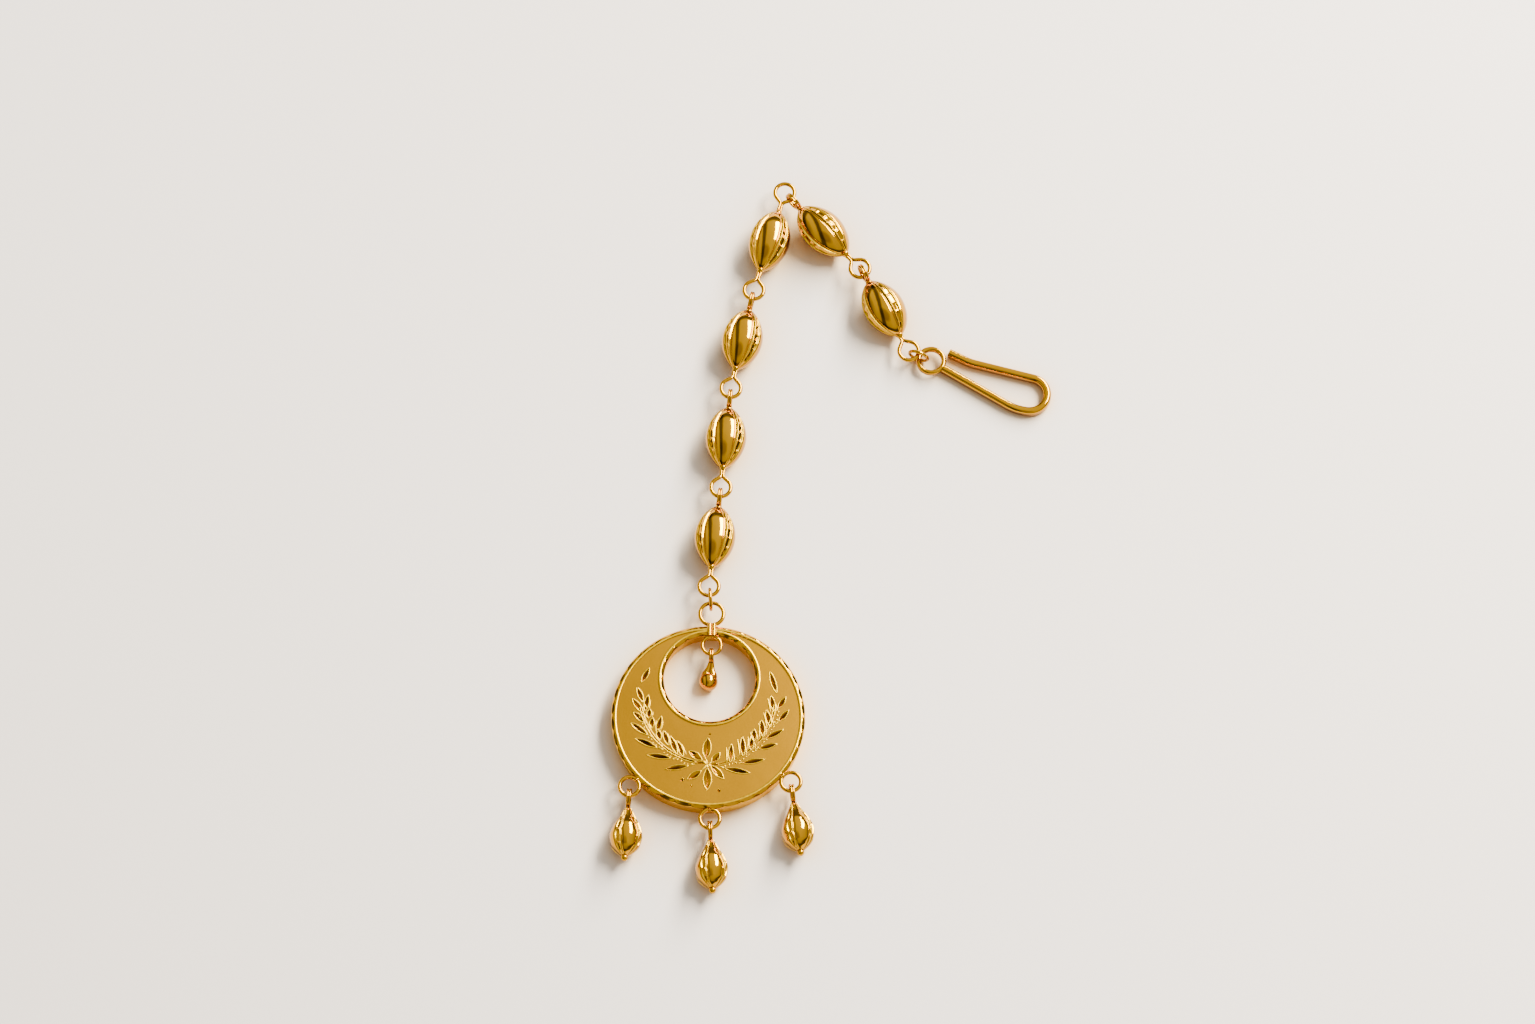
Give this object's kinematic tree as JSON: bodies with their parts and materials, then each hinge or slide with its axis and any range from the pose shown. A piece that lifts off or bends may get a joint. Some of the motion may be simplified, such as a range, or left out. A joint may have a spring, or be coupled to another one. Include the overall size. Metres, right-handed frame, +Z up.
{
  "type": "maang tikka",
  "caption": "Gold forehead ornament laid flat: engraved crescent pendant with a hanging ball and lobed drops, on a chain of lobed marquise beads that ends in a wire hair hook.",
  "frame": {"origin": "centre of the object's bounding box on the surface that it lies on", "axes": "+Z up from the surface, +Y from the pendant's drops towards the fold of the chain, +X towards the side where the hook lies"},
  "size_m": [0.0528, 0.091, 0.0046],
  "materials": {
    "satin_gold": "satin 22 karat gold front plate with bright-cut engraving and bright-cut rims, polished walls and rings",
    "polished_gold": "polished 22 karat gold with bright-cut ribs"
  },
  "bodies": {
    "root": {"pendant": "satin_gold", "ball_drop": "polished_gold", "drop_left": "polished_gold", "drop_bottom": "polished_gold", "drop_right": "polished_gold", "link_1": "polished_gold", "link_2": "polished_gold", "link_3": "polished_gold", "link_4": "polished_gold", "link_5": "polished_gold", "link_6": "polished_gold", "jump_ring_pendant": "polished_gold", "jump_ring_hook": "polished_gold", "hook": "polished_gold"}
  },
  "joints": []
}
